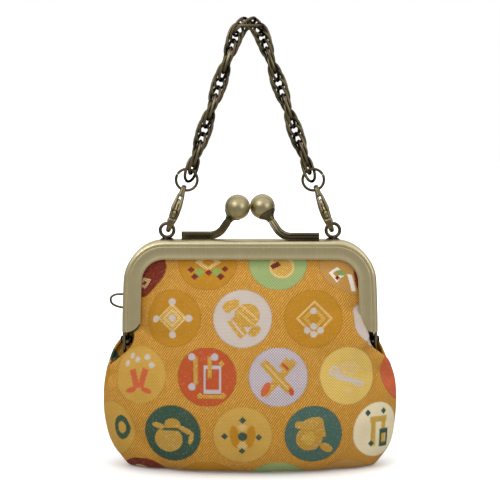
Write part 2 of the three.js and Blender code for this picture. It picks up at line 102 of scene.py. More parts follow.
def drawn_out(bm, section, steps, shift=(0, 0, 0), about=(0, 0, 0), axis=(0, 1, 0), turn=0):
    """Draws a section out, straight or round an axis, and gives its far end."""
    step = Vector(shift) / steps
    swept = bmesh.ops.spin(bm, geom=section, cent=about, axis=axis, dvec=step, angle=turn, steps=steps)
    return swept["geom_last"]


def closed_end(bm, section):
    bmesh.ops.triangle_fill(bm, edges=edges_of(section), use_beauty=True)


def spun(bm, line, steps, share=1.0):
    """Turns a line about Z, fully or for a share of a turn, and gives the shape's vertices."""
    known = set(bm.verts) - set(verts_of(line))
    turning = {"cent": (0, 0, 0), "axis": (0, 0, 1), "angle": 2 * pi * share, "steps": steps}
    bmesh.ops.spin(bm, geom=line, use_merge=share == 1, **turning)
    return [vert for vert in bm.verts if vert not in known]


def turned(bm, profile, matrix=Matrix(), steps=32):
    """A shape turned about Z from radius and height pairs, then put in its place."""
    points = [bm.verts.new((radius, 0, height)) for radius, height in profile]
    line = [bm.edges.new(pair) for pair in zip(points, points[1:])]
    made = spun(bm, points + line, steps)
    bmesh.ops.remove_doubles(bm, verts=made, dist=WELD)
    bmesh.ops.transform(bm, matrix=matrix, verts=[vert for vert in made if vert.is_valid])


def placed(name, data):
    """A new object in the scene, with its mesh, lamp or camera."""
    holder = bpy.data.objects.new(name, data)
    bpy.context.scene.collection.objects.link(holder)
    return holder


def made_piece(bm, name, nodes, finishes, body="purse", crease=38):
    """Turns a mesh drawn in millimetres into a piece that stands for CAD nodes and rides a body."""
    bmesh.ops.recalc_face_normals(bm, faces=bm.faces)
    bmesh.ops.scale(bm, vec=(MM, MM, MM), verts=bm.verts)
    mesh = bpy.data.meshes.new(name)
    bm.to_mesh(mesh)
    bm.free()
    mesh.shade_smooth()
    mesh.set_sharp_from_angle(angle=radians(crease))
    for finish in finishes:
        mesh.materials.append(finish)
    piece = placed(name, mesh)
    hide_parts(*nodes)
    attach(piece, body)
    return piece


def mark_grime(bm, gain=3.0, base=0.3):
    """Marks where dark patina stays: in hollows, and not on the edges that hands rub bright."""
    bm.normal_update()
    grime_and_shade = bm.verts.layers.float.new("grime_and_shade")
    for vert in bm.verts:
        ways = [(edge.other_vert(vert).co - vert.co).normalized() for edge in vert.link_edges]
        hollow = sum(way.dot(vert.normal) for way in ways) / max(len(ways), 1)
        vert[grime_and_shade] = min(max(base + gain * hollow, 0), 1)


def fill(socket, value):
    """Sets an input to a value, or links another node's output to it."""
    if isinstance(value, Field):
        value = value.socket
    if isinstance(value, bpy.types.NodeSocket):
        socket.id_data.links.new(value, socket)
    else:
        socket.default_value = value


class Field:
    """A value that changes over a surface, with the arithmetic of a shader's math nodes."""

    def __init__(self, socket):
        self.tree = socket.id_data
        self.socket = socket

    def math(self, operation, *others):
        step = self.tree.nodes.new("ShaderNodeMath")
        step.operation = operation
        for socket, value in zip(step.inputs, (self, *others)):
            fill(socket, value)
        return Field(step.outputs["Value"])

    def __add__(self, other):
        return self.math("ADD", other)

    def __sub__(self, other):
        return self.math("SUBTRACT", other)

    def __mul__(self, other):
        return self.math("MULTIPLY", other)

    def eased(self, gain, shift):
        """The value times a gain plus a shift, kept between 0 and 1."""
        raised = self.math("MULTIPLY_ADD", gain, shift)
        kept = add_node(self.tree, "ShaderNodeClamp", {"Value": raised})
        return Field(kept.outputs["Result"])

    def blend(self, low, high):
        """Runs from a low to a high number where the value runs from 0 to 1."""
        return self * (high - low) + low

    def mix(self, first, second):
        """Runs from the first colour to the second where the value runs from 0 to 1."""
        inputs = {0: self, 6: first, 7: second}
        return add_node(self.tree, "ShaderNodeMix", inputs, data_type="RGBA").outputs[2]


def add_node(tree, kind, inputs, **options):
    """Adds a node with its options set and its inputs filled."""
    made = tree.nodes.new(kind)
    for option, value in options.items():
        setattr(made, option, value)
    for name, value in inputs.items():
        fill(made.inputs[name], value)
    return made


def paint(code):
    """A colour for a shader, from the hex code that a screen shows."""
    shares = [int(code[place:place + 2], 16) / 255 for place in (0, 2, 4)]
    return (*[((share + 0.055) / 1.055) ** 2.4 for share in shares], 1)


def aged_metal_group():
    """Brass that has darkened in its hollows and in soft clouds, and is worn bright elsewhere. Its
    grime input also carries painted shade.
    """
    tree = bpy.data.node_groups.new("Aged metal", "ShaderNodeTree")
    sockets = [
        ("Vector", "INPUT", "Vector"),
        ("Bright", "INPUT", "Color"),
        ("Dark", "INPUT", "Color"),
        ("Grime and shade", "INPUT", "Float"),
        ("Color", "OUTPUT", "Color"),
        ("Roughness", "OUTPUT", "Float"),
        ("Height", "OUTPUT", "Float"),
    ]
    for name, way, kind in sockets:
        tree.interface.new_socket(name=name, in_out=way, socket_type=f"NodeSocket{kind}")
    given = tree.nodes.new("NodeGroupInput").outputs
    clouds = {"Vector": given["Vector"], "Scale": 210, "Detail": 4}
    specks = {"Vector": given["Vector"], "Scale": 2400, "Detail": 2}
    cloud = Field(add_node(tree, "ShaderNodeTexNoise", clouds).outputs["Fac"])
    speck = Field(add_node(tree, "ShaderNodeTexNoise", specks).outputs["Fac"])
    dark = (Field(given["Grime and shade"]) + cloud * 0.8 + speck * 0.4).eased(1, -0.6)
    result = tree.nodes.new("NodeGroupOutput").inputs
    fill(result["Color"], dark.mix(given["Bright"], given["Dark"]))
    fill(result["Roughness"], dark * 0.22 + speck * 0.12 + 0.2)
    fill(result["Height"], speck)
    return tree


AGED_METAL = aged_metal_group()


def new_material(name):
    """A material, with its tree and shader."""
    material = bpy.data.materials.new(name)
    material.use_nodes = True
    tree = material.node_tree
    return material, tree, tree.nodes["Principled BSDF"]


def aged_brass(name, bright, dark):
    """A metal material, with its tree, shader and aged metal node for further work."""
    material, tree, shader = new_material(name)
    fill(shader.inputs["Metallic"], 1)
    coordinates = tree.nodes.new("ShaderNodeTexCoord").outputs["Object"]
    grime_and_shade = add_node(tree, "ShaderNodeAttribute", {}, attribute_name="grime_and_shade").outputs["Fac"]
    inputs = {"Vector": coordinates, "Bright": paint(bright), "Dark": paint(dark), "Grime and shade": grime_and_shade}
    aged = add_node(tree, "ShaderNodeGroup", inputs, node_tree=AGED_METAL)
    fill(shader.inputs["Base Color"], aged.outputs["Color"])
    fill(shader.inputs["Roughness"], aged.outputs["Roughness"])
    relief = {"Height": aged.outputs["Height"], "Strength": 0.12, "Distance": 0.05 * MM}
    bump = add_node(tree, "ShaderNodeBump", relief)
    fill(shader.inputs["Normal"], bump.outputs["Normal"])
    return material, tree, shader, aged


def brushed_brass():
    """The frame's brass, with fine upright scratches from the brush."""
    material, tree, shader, aged = aged_brass("Brushed brass", "e4d8b1", "b2a47b")
    coordinates = tree.nodes["Texture Coordinate"].outputs["Object"]
    stretch = add_node(tree, "ShaderNodeMapping", {"Vector": coordinates, "Scale": (4200, 4200, 90)})
    scratches = {"Vector": stretch.outputs["Vector"], "Scale": 1, "Detail": 3, "Roughness": 0.7}
    scratch = Field(add_node(tree, "ShaderNodeTexNoise", scratches).outputs["Fac"])
    streaked = scratch.eased(1.6, -0.55).mix(aged.outputs["Color"], paint("c0b289"))
    fill(shader.inputs["Base Color"], streaked)
    fill(shader.inputs["Roughness"], Field(aged.outputs["Roughness"]) + scratch * 0.16)
    fill(tree.nodes["Bump"].inputs["Height"], scratch)
    return material


FRAME_FINISH = brushed_brass()


def channel_profile():
    """The folded sheet across one half: inset from the outer edge, and depth from the split plane."""
    shoulder_top = FRAME_FACE + SHOULDER_RISE
    groove = [(1.55, 5.13), (1.68, 4.97), (1.84, 4.96), (2.0, 5.03)]
    hollow = [(2.3, 0.02), (2.9, 0.1), (3.5, 0.15), (4.1, 0.17), (4.7, 0.14), (5.2, 0.08), (5.6, 0.02)]
    face = [(inset, FRAME_FACE - depth) for inset, depth in hollow]
    fold = FRAME_FACE - 2 * LIP_ROLL
    inner = FRAME_SPLIT + SHEET
    return [
        (0.25, FRAME_SPLIT),
        (0.07, FRAME_SPLIT + 0.07),
        (0.0, FRAME_SPLIT + 0.25),
        *arc((SHOULDER, shoulder_top - SHOULDER), SHOULDER, 180, 90, 7),
        *groove,
        *face,
        *arc((FRAME_BAND - LIP_ROLL, FRAME_FACE - LIP_ROLL), LIP_ROLL, 90, -90, 6),
        (4.7, fold),
        (3.5, fold),
        (SHEET + FOLD_CUT, fold),
        (SHEET, fold - FOLD_CUT),
        (SHEET, inner + FOLD_CUT),
        (SHEET + FOLD_CUT, inner),
        (3.5, inner),
        (4.7, inner),
        *arc((FRAME_BAND - SHEET / 2, FRAME_SPLIT + SHEET / 2), SHEET / 2, 90, -90, 4),
        (3.5, FRAME_SPLIT),
    ]


def eased(low, high, value):
    """Rises smoothly from 0 to 1 between two values."""
    share = min(max((value - low) / (high - low), 0), 1)
    return share * share * (3 - 2 * share)


def drawn_in(x, z):
    """The legs lean in a little towards the top of the frame."""
    return x * (1 - FRAME_LEAN * eased(LEG_END, FRAME_TOP, z))


def swept_channel(bm):
    """The back half: up the left leg, round both corners and down the right leg."""
    corner_x = FRAME_HALF_WIDTH - FRAME_CORNER
    corner_z = FRAME_TOP - FRAME_CORNER
    leg = corner_z - LEG_END
    profile = channel_profile()
    places = [(inset - FRAME_HALF_WIDTH, SPLIT_Y + depth, LEG_END) for inset, depth in profile]
    start = closed_ring(bm, places)
    section = drawn_out(bm, start, LEG_STEPS, shift=(0, 0, leg))
    section = drawn_out(bm, section, CORNER_STEPS, about=(-corner_x, 0, corner_z), turn=pi / 2)
    section = drawn_out(bm, section, TOP_STEPS, shift=(2 * corner_x, 0, 0))
    section = drawn_out(bm, section, CORNER_STEPS, about=(corner_x, 0, corner_z), turn=pi / 2)
    end = drawn_out(bm, section, LEG_STEPS, shift=(0, 0, -leg))
    closed_end(bm, start)
    closed_end(bm, end)
    for vert in verts_of(start) + verts_of(end):
        share = (FRAME_HALF_WIDTH - abs(vert.co.x) - FRAME_BAND + LEG_ROUNDING) / LEG_ROUNDING
        vert.co.z += LEG_ROUNDING * (1 - sqrt(1 - min(max(share, 0), 1) ** 2))
    for vert in bm.verts:
        vert.co.x = drawn_in(vert.co.x, vert.co.z)


TO_FRONT = Matrix.Translation((0, 2 * SPLIT_Y, 0)) @ Matrix.Rotation(pi, 4, "Z")
for half, placing in (("back", Matrix()), ("front", TO_FRONT)):
    bm = bmesh.new()
    swept_channel(bm)
    bmesh.ops.recalc_face_normals(bm, faces=bm.faces)
    mark_grime(bm, gain=2.5)
    bmesh.ops.transform(bm, matrix=placing, verts=bm.verts)
    made_piece(bm, f"{half}_channel", [f"{half}_frame"], [FRAME_FINISH], crease=50)

# Ball arms
# A bar of dark brass is soldered along the top of each half and bends up to a small cup that holds
# the ball. The outer side of each bar has two drawn grooves. The balls snap past each other.
ARM_START_X = -23.0
ARM_BEND_X = -13.6
ARM_BEND_RADIUS = 5.5
ARM_TURN = radians(56.4)
ARM_HALF = 1.28
ARM_SIDEWAYS = -1.3
ARM_CORNER = 0.3
ARM_NARROWS = 0.86
BALL_RADIUS = 4.2
CUP_REACH = 1.4 * BALL_RADIUS
BALL = Vector((-4.15, SPLIT_Y - 1.4, -59.9))
CUP_PROFILE = [
    (0, -5.9), (1.15, -5.9), (1.35, -5.6), (1.4, -5.1), (1.7, -4.5), (2.3, -3.9), (2.95, -3.3),
    (3.15, -2.95), (3.0, -2.7), (0, -2.6),
]
# How much shade is painted on the bar's lower side, how dark the ball is, and how bright the bar
# and the cup are rubbed
UNDER_PAINTED_SHADE = 0.5
BALL_GRIME = 0.32
ARM_RUBBED = 0.15
CUP_RUBBED = 0.4


def arm_section():
    """Across the bar: a square with round corners and two grooves on its outer side."""
    corner = ARM_HALF - ARM_CORNER
    grooves = [(ARM_HALF, -0.58), (ARM_HALF - 0.22, -0.45), (ARM_HALF, -0.32)]
    grooves += [(y, -z) for y, z in reversed(grooves)]
    return [
        *arc((-corner, -corner), ARM_CORNER, 180, 270, 3),
        *arc((corner, -corner), ARM_CORNER, 270, 360, 3),
        *grooves,
        *arc((corner, corner), ARM_CORNER, 0, 90, 3),
        *arc((-corner, corner), ARM_CORNER, 90, 180, 3),
        (-ARM_HALF, 0.3),
        (-ARM_HALF, 0),
    ]


ARM_FINISH = aged_brass("Dark bronze", "6b624c", "15110b")[0]
BALL_FINISH = aged_brass("Polished brass", "cbbf98", "857958")[0]


def ball_arm(bm):
    """The left arm, on the back half."""
    bar_z = FRAME_TOP + ARM_HALF
    start = closed_ring(bm, [(ARM_START_X, y, bar_z + z) for y, z in arm_section()])
    section = drawn_out(bm, start, 4, shift=(ARM_BEND_X - ARM_START_X, 0, 0))
    bend = {"about": (ARM_BEND_X, 0, bar_z + ARM_BEND_RADIUS), "axis": (0, -1, 0), "turn": ARM_TURN}
    section = drawn_out(bm, section, 12, shift=(0, ARM_SIDEWAYS, 0), **bend)
    bent = verts_of(section)
    middle = sum((vert.co for vert in bent), Vector()) / len(bent)
    way = (BALL - middle).normalized()
    reach = (BALL - middle).length + CUP_PROFILE[2][1]
    end = drawn_out(bm, section, 3, shift=way * reach)
    narrow = Matrix.Translation(-middle - way * reach)
    bmesh.ops.scale(bm, vec=[ARM_NARROWS] * 3, space=narrow, verts=verts_of(end))
    closed_end(bm, start)
    closed_end(bm, end)
    turn = Vector((0, 0, 1)).rotation_difference(way).to_matrix().to_4x4()
    turned(bm, CUP_PROFILE, Matrix.Translation(BALL) @ turn)
    bmesh.ops.recalc_face_normals(bm, faces=bm.faces)
    mark_grime(bm, gain=3.0, base=0.45)
    grime_and_shade = bm.verts.layers.float["grime_and_shade"]
    for vert in bm.verts:
        in_cup = (vert.co - BALL).length < CUP_REACH
        # Painted shade: the bar's lower half is darkened as if lit only from above; the bend stays
        # light
        under = eased(-0.3, -0.05, bar_z - vert.co.z)
        vert[grime_and_shade] += UNDER_PAINTED_SHADE * under - (CUP_RUBBED if in_cup else ARM_RUBBED)
    shape = {"u_segments": 48, "v_segments": 32, "radius": BALL_RADIUS}
    ball = bmesh.ops.create_uvsphere(bm, matrix=Matrix.Translation(BALL) @ turn, **shape)["verts"]
    for vert in ball:
        vert[grime_and_shade] = BALL_GRIME
        for face in vert.link_faces:
            face.material_index = 1


for side, half, placing in (("left", "back", Matrix()), ("right", "front", TO_FRONT)):
    bm = bmesh.new()
    ball_arm(bm)
    bmesh.ops.transform(bm, matrix=placing, verts=bm.verts)
    made_piece(bm, f"{side}_ball_arm", [f"{half}_frame"], [ARM_FINISH, BALL_FINISH])

# Eyelets
# Two small rings of bronze wire on flared feet, soldered on the top of the back half. The chain's
# clasps hook into them.
EYELET_X = 27.9
EYELET_RISE = 3.0
EYELET_RADIUS = 2.3
EYELET_WIRE = 0.58
EYELET_FOOT = [(0, -3.1), (2.3, -3.1), (2.25, -2.85), (1.5, -2.5), (0.95, -2.15), (0, -2.0)]


def wire_section(wire, sides):
    """Points round a wire."""
    return arc((0, 0), wire, 90, 360 / sides - 270, sides - 1)


def wire_ring(bm, radius, wire, share=1.0, steps=40, sides=12):
    """A ring of round wire about Z, whole or with a cut across the wire."""
    section = closed_ring(bm, [(radius + x, 0, z) for x, z in wire_section(wire, sides)])
    made = spun(bm, section, steps, share)
    if share < 1:
        bmesh.ops.holes_fill(bm, edges=[edge for edge in bm.edges if edge.is_boundary])
    return made


bm = bmesh.new()
for side in (-1, 1):
    place = Matrix.Translation((side * EYELET_X, 0, FRAME_TOP + EYELET_RISE))
    ring = wire_ring(bm, EYELET_RADIUS, EYELET_WIRE)
    bmesh.ops.transform(bm, matrix=place @ Matrix.Rotation(pi / 2, 4, "X"), verts=ring)
    turned(bm, EYELET_FOOT, place)
mark_grime(bm, gain=2.0, base=0.5)
made_piece(bm, "chain_eyelets", ["back_frame"], [ARM_FINISH])

# Hinges
# Each leg ends in a flat ear, the front one outside the back one, and a rivet with round heads
# joins the two ears, so that the halves swing apart.
EAR_ROUND = 2.1
EAR_RISE = 3.0
EAR_EDGE = 0.12
Ear = namedtuple("Ear", "half way inner outer near far drop")
EARS = [
    Ear("front", -1, 41.8, 42.6, 0.4, 3.8, 2.4),
    Ear("back", 1, 40.6, 41.72, 0.4, 2.2, 0),
]
RIVET_PROFILE = [
    (0, 39.6), (0.7, 39.65), (1.15, 39.8), (1.35, 40.1), (1.35, 40.35), (0.7, 40.4), (0.7, 42.95),
    (1.35, 43.0), (1.35, 43.2), (1.15, 43.45), (0.7, 43.6), (0, 43.65),
]
HARDWARE_FINISH = aged_brass("Worn brass", "8f8466", "2e281b")[0]
for ear in EARS:
    bm = bmesh.new()
    for side in (-1, 1):
        edge = arc((0, HINGE_Z - ear.drop), EAR_ROUND, 0, -180, 14)
        edge += [(ear.near, LEG_END - EAR_ROUND / 2), (ear.near, LEG_END + EAR_RISE)]
        edge += [(ear.far, LEG_END + EAR_RISE), (ear.far, LEG_END)]
        outline = [bm.verts.new((side * ear.inner, SPLIT_Y + ear.way * y, z)) for y, z in edge]
        plate = bmesh.ops.extrude_face_region(bm, geom=[bm.faces.new(outline)])["geom"]
        thickness = Vector((side * (ear.outer - ear.inner), 0, 0))
        bmesh.ops.translate(bm, vec=thickness, verts=verts_of(plate))
    bmesh.ops.recalc_face_normals(bm, faces=bm.faces)
    sharp = [edge for edge in bm.edges if edge.calc_face_angle(0) > radians(60)]
    rounding = {"offset": EAR_EDGE, "affect": "EDGES", "segments": 2, "profile": 0.5, "material": -1}
    bmesh.ops.bevel(bm, geom=sharp, **rounding)
    mark_grime(bm, base=0.4)
    made_piece(bm, f"{ear.half}_hinge_ears", [f"{ear.half}_frame"], [HARDWARE_FINISH])
for name, way in (("left", -pi / 2), ("right", pi / 2)):
    bm = bmesh.new()
    lying = Matrix.Translation((0, SPLIT_Y, HINGE_Z)) @ Matrix.Rotation(way, 4, "Y")
    turned(bm, RIVET_PROFILE, lying, steps=24)
    mark_grime(bm, base=0.4)
    node = f"hinge_rivet_{name}"
    made_piece(bm, node + "_pin", [node], [HARDWARE_FINISH])

# Side loop
# A thin wire loop for a charm, with its two ends through the left leg of the back half.
LOOP_WIRE = 0.4
LOOP_STEPS = 40
LOOP_ROUTE = [
    Vector((x, 0, z)) for x, z in (
        (-41.6, -89.6), (-43.4, -89.65), (-45.6, -89.85), (-46.9, -90.7), (-47.1, -91.8),
        (-46.6, -92.9), (-45.2, -93.7), (-43.4, -94.15), (-41.6, -94.3),
    )
]


def smooth_between(values, place):
    """A smooth curve through equally spaced values, at a place counted from the first value."""
    first = min(int(place), len(values) - 2)
    a, b, c, d = [values[min(max(first + step, 0), len(values) - 1)] for step in (-1, 0, 1, 2)]
    share = place - first
    bend = 2 * a - 5 * b + 4 * c - d + (3 * b - 3 * c + d - a) * share
    return b + (c - a + bend * share) * share * 0.5


def drawn_wire(bm, route, radius, sides=12):
    """A round wire along a route: a circle drawn from point to point and turned into each bend."""
    ways = [(after - before).normalized() for before, after in zip(route, route[1:])]
    headings = [ways[0], *[(a + b).normalized() for a, b in zip(ways, ways[1:])], ways[-1]]
    turn = Vector((0, 0, 1)).rotation_difference(headings[0]).to_matrix().to_4x4()
    placing = Matrix.Translation(route[0]) @ turn
    start = closed_ring(bm, [placing @ Vector((x, y, 0)) for x, y in wire_section(radius, sides)])
    section = start
    for here, there, old, new in zip(route, route[1:], headings, headings[1:]):
        section = drawn_out(bm, section, 1, shift=there - here)
        bend = old.rotation_difference(new).to_matrix()
        bmesh.ops.rotate(bm, cent=there, matrix=bend, verts=verts_of(section))
    closed_end(bm, start)
    closed_end(bm, section)


loop_places = [(len(LOOP_ROUTE) - 1) * step / LOOP_STEPS for step in range(LOOP_STEPS + 1)]
bm = bmesh.new()
drawn_wire(bm, [smooth_between(LOOP_ROUTE, place) for place in loop_places], LOOP_WIRE)
mark_grime(bm, base=0.15)
made_piece(bm, "charm_loop", ["side_loop"], [HARDWARE_FINISH])

# Bag
# A pouch of brocade, sewn from a front and a back panel along the sides and the base. The top edges
# are glued into the frame, and below the hinges each panel has a short free edge beside the slit.
CLOTH = 0.9
SEAM_WELD = 0.01
BAG_COLUMNS = 120
BAG_LEVELS = 126
BAG_ROUNDNESS = (2.2, 0.6)
LIP_EASE = (0.25, 4.4)
LEG_EASE = (LEG_END - 2, LEG_END + 1.5)
# Level by level: the half width, the depth in the middle and at the edge, and how much narrower
# the front panel is beside the slits
BagRow = namedtuple("BagRow", "z width depth edge slit", defaults=(0, 0))
BAG_ROWS = [
    BagRow(-72.8, 31.9, 3.9, 3.9),
    BagRow(-75, 36.4, 3.9, 3.9),
    BagRow(-77.9, 39.2, 4.2, 3.9),
    BagRow(-83.5, 40.9, 7.4, 3.9),
    BagRow(-90, 41, 10.2, 3.9),
    BagRow(-96, 40.7, 12.3, 3.9),
    BagRow(-101.8, 41.6, 14, 3.9, 1.9),
    BagRow(-104.9, 44, 14.8, 4.3, 3.2),
    BagRow(-107.8, 46.1, 15.5, 3.9, 3.1),
    BagRow(-111, 47.4, 16.1, 2.6, 1.8),
    BagRow(-115, 48.5, 16.9),
    BagRow(-121, 49.4, 17.9),
    BagRow(-129, 49.4, 18.5),
    BagRow(-136, 48.2, 18),
    BagRow(-140.8, 46.3, 17),
    BagRow(-144.5, 43.6, 15.3),
    BagRow(-146.8, 41.8, 12.4),
    BagRow(-147.5, 40.6, 8.4),
    BagRow(-147.6, 39, 0),
]
Fold = namedtuple("Fold", "x0 z0 x1 z1 width depth")
FOLDS = [
    Fold(37, -102, 46, -117, 2.4, 1.7),
    Fold(-37, -101, -45.5, -116, 2.6, 1.7),
    Fold(33, -99, 24, -111, 4, 0.5),
    Fold(-34, -100, -27, -112, 4, 0.5),
    Fold(28, -147, 37, -136, 3, 0.8),
    Fold(-28, -147, -38, -134, 3.2, 1.1),
    Fold(30, -78, 35.2, -91, 2.6, 2.4),
    Fold(-30, -78, -35.4, -94, 2.8, 2.8),
    Fold(24, -79, 27, -101, 3.5, 0.5),
    Fold(-24, -79, -27, -101, 3.5, 0.5),
    Fold(8, -79, 7, -96, 3.5, 0.4),
    Fold(-9, -79, -7.5, -96, 3.5, 0.4),
]
DENT_LIMIT = 0.55
Crease = namedtuple("Crease", "height seed scale")
CREASES = [Crease(0.3, 11, 0.075), Crease(0.12, 7, 0.21)]
# The cloth is pulled out over the lower end of the right leg, and tucked under along a slant
TUCK_START = 0.5
TUCK_REACH = 0.866
TUCK_END = 0.905
TUCK_X = 36.5
TUCK_Z = -95.3
TUCK_LOW = -102.0
TUCK_FADE = 12.0
TUCK_EASE = 1.5
TUCK_SLANT = 0.47
TUCK_FORWARD = 0.75
# The right side hangs closer below the hinge, and its lower corner is fuller
NECK_Z = -109.0
NECK_HEIGHT = 5.0
NECK_RIGHT = 1.2
BASE_DROP = (130, 145)
BASE_RIGHT = 1.1
# The side seams start here. Above, the front panel's edge hangs back on the left and reaches
# further out on the right
SEAM_TOP = -115.0
Slit = namedtuple("Slit", "pull middle top")
LEFT_SLIT = Slit(-2.0, -107.0, -98.0)
RIGHT_SLIT = Slit(2.0, -110.5, -106.0)


def inside_lip(x, z):
    """How far a place in the frame's plane lies inside the lip of the channel."""
    across = max(0, abs(x) - FRAME_HALF_WIDTH + FRAME_CORNER)
    up = max(0, z - FRAME_TOP + FRAME_CORNER)
    return FRAME_CORNER - FRAME_BAND - hypot(across, up)


def fold_dent(x, z):
    """How deep the folds press the cloth in at a place."""
    dent = 0
    for fold in FOLDS:
        start = Vector((fold.x0, fold.z0))
        line = Vector((fold.x1, fold.z1)) - start
        share = min(max((Vector((x, z)) - start).dot(line) / line.length_squared, 0), 1)
        away = (Vector((x, z)) - start - line * share).length
        dent += fold.depth * exp(-((away / fold.width) ** 2))
    return dent


def tuck_pull(z, width):
    """How far the cloth is pulled out over the right leg at a height."""
    pull = TUCK_X + TUCK_SLANT * (TUCK_Z - max(z, TUCK_LOW)) - width * TUCK_REACH
    fade = eased(-TUCK_LOW, TUCK_FADE - TUCK_LOW, -z)
    return max(pull, 0) * eased(0, TUCK_EASE, pull) * (1 - fade)


def tuck_share(reach, framed):
    """The share of the pull across a panel: most at the tuck, and less on both sides of it."""
    if reach < TUCK_REACH:
        return eased(TUCK_START, TUCK_REACH, reach)
    under = 1 - eased(TUCK_REACH, TUCK_END, reach)
    beside = (1 - reach) / (1 - TUCK_REACH)
    return beside + (under - beside) * framed


def bag_place(reach, level, face):
    """A place on the front (face -1) or back (face 1) panel: reach runs from side to side."""
    row = BagRow(*[smooth_between(column, level) for column in zip(*BAG_ROWS)])
    z = max(row.z, BAG_ROWS[-1].z)
    width = row.width - row.slit if face < 0 and z > SEAM_TOP else row.width
    x = width * reach
    power, root = BAG_ROUNDNESS
    roundness = (1 - abs(reach) ** power) ** root
    lip = inside_lip(x, z)
    framed = eased(*LEG_EASE, z)
    ease = 1 - framed * (1 - eased(*LIP_EASE, lip))
    swell = (row.depth - row.edge) * roundness * ease
    creases = sum(c.height * noise.noise(Vector((x, c.seed * face, z)) * c.scale) for c in CREASES)
    dent = min(fold_dent(x, z) - creases, DENT_LIMIT * swell)
    depth = row.edge + swell - dent * ease * min(swell, 1)
    if face < 0:
        pull = tuck_pull(z, width) * tuck_share(reach, framed)
        depth += TUCK_FORWARD * sqrt(pull)
        x += pull
        slit = RIGHT_SLIT if x > 0 else LEFT_SLIT
        share = eased(SEAM_TOP, slit.middle, z) * (1 - eased(slit.middle, slit.top, z))
        x += slit.pull * reach * share
    if x > 0:
        x -= NECK_RIGHT * reach * exp(-(((z - NECK_Z) / NECK_HEIGHT) ** 2))
        x += BASE_RIGHT * reach * eased(*BASE_DROP, -z)
    return Vector((drawn_in(x, z), SPLIT_Y + face * max(depth, 0), z))


# The weave's rows are counted from the row of medallions at this level of the front panel
PATTERN_Z = -95.5
PATTERN_X = -2.6
ROW_PITCH = 19.2
COLUMN_PITCH = 23.4
# The back panel is cut from another place in the cloth
BACK_CUT = Vector((2.5 * COLUMN_PITCH, -ROW_PITCH))
# The threads hang lower towards the sides, and most where the frame's legs gather the cloth
SAG = 1.0
GATHER = 3.0
GATHER_WIDTH = 4.0
GATHER_X = (24, 34)
GATHER_Z = (-104, -94)


def shaped_rows(grid, face):
    """Pulls a panel's grid into shape, and gives its vertices row by row from the top."""
    rows = [[None] * (BAG_COLUMNS + 1) for _ in range(BAG_LEVELS + 1)]
    for vert in grid:
        column = round((vert.co.x + 1) / 2 * BAG_COLUMNS)
        level = round((1 - vert.co.y) / 2 * BAG_LEVELS)
        rows[level][column] = vert
    for level, row in enumerate(rows):
        for column, vert in enumerate(row):
            reach = sin((2 * column / BAG_COLUMNS - 1) * pi / 2)
            vert.co = bag_place(reach, level / BAG_LEVELS * (len(BAG_ROWS) - 1), face)
    return rows


def lengths_along(verts):
    """How far each vertex in a line is from the first, over the cloth."""
    return [0, *accumulate((b.co - a.co).length for a, b in zip(verts, verts[1:]))]


def thread_places(rows, face):
    """Where each vertex of a panel lies on the flat cloth, in millimetres across and up."""
    middle = BAG_COLUMNS // 2
    cut = BACK_CUT if face > 0 else Vector((0, 0))
    spine = [row[middle] for row in rows]
    drops = lengths_along(spine)
    start = next(drop for drop, vert in zip(drops, spine) if vert.co.z <= PATTERN_Z)
    threads = {}
    for drop, row in zip(drops, rows):
        runs = lengths_along(row)
        for column, vert in enumerate(row):
            x, _, z = vert.co
            gather = exp(-((max(inside_lip(x, z), 0) / GATHER_WIDTH) ** 2))
            gather *= eased(*GATHER_X, abs(x)) * eased(*GATHER_Z, z)
            sag = SAG * (2 * column / BAG_COLUMNS - 1) ** 2 + GATHER * gather
            across = runs[column] - runs[middle]
            threads[vert] = (cut.x - face * across, cut.y + start - drop + sag)
    return threads


def sewn_panel(bm, face, cloth):
    """One panel: a grid pulled into shape, with its thread directions kept as a map."""
    grid = bmesh.ops.create_grid(bm, x_segments=BAG_COLUMNS, y_segments=BAG_LEVELS, size=1)["verts"]
    for vert, place in thread_places(shaped_rows(grid, face), face).items():
        for corner in vert.link_loops:
            corner[cloth].uv = place


MEDALLION_RADIUS = 9.7
RIM_RADIUS = MEDALLION_RADIUS + 0.2
ROWS_BEFORE_REPEAT = 4
COLUMNS_BEFORE_REPEAT = 6
THREAD = 0.34
FLECK = 1.2 * THREAD
FIGURE_EDGE = 0.16
# Waves of the weave, in radians for each millimetre
TWILL = (7.6, 5.4)
NET = 3.4
SATIN = 14.0
THREADS = {
    "ground": "c2851f", "light": "e0b25c", "gold": "bf8516", "pale": "e6c98c", "bright": "c48e12",
    "lilac": "cfc3ba", "silver": "c2bcc2", "white": "f6f0e2", "red": "c04e26", "coral": "ce5f3a",
    "dark_red": "74120f", "lavender": "9383a6", "yellow": "d3a52c", "straw": "c8962f",
    "teal": "1a5146", "sea": "8fc4c4", "green": "86a656", "cream": "f0d98c",
    # glint and spark colour painted glints on the metal threads; glint follows the net's knots
    "shadow": "7a4a0c", "satin": "2a2118", "glint": "ffeaa6", "spark": "fff3d6",
}
METAL_THREADS = ("bright", "pale", "straw", "yellow")
Figure = namedtuple("Figure", "shape x y length width turn thread hollow", defaults=(0, "bright", 0))
oval = partial(Figure, "oval")
bar = partial(Figure, "bar")
lozenge = partial(Figure, "lozenge")
Medallion = namedtuple("Medallion", "row column ground figures net share", defaults=("white", 0))


def scattered(places, size, thread, shape="lozenge"):
    """The same small figure at several places."""
    return [Figure(shape, x, y, size, size, 0, thread) for x, y in places]


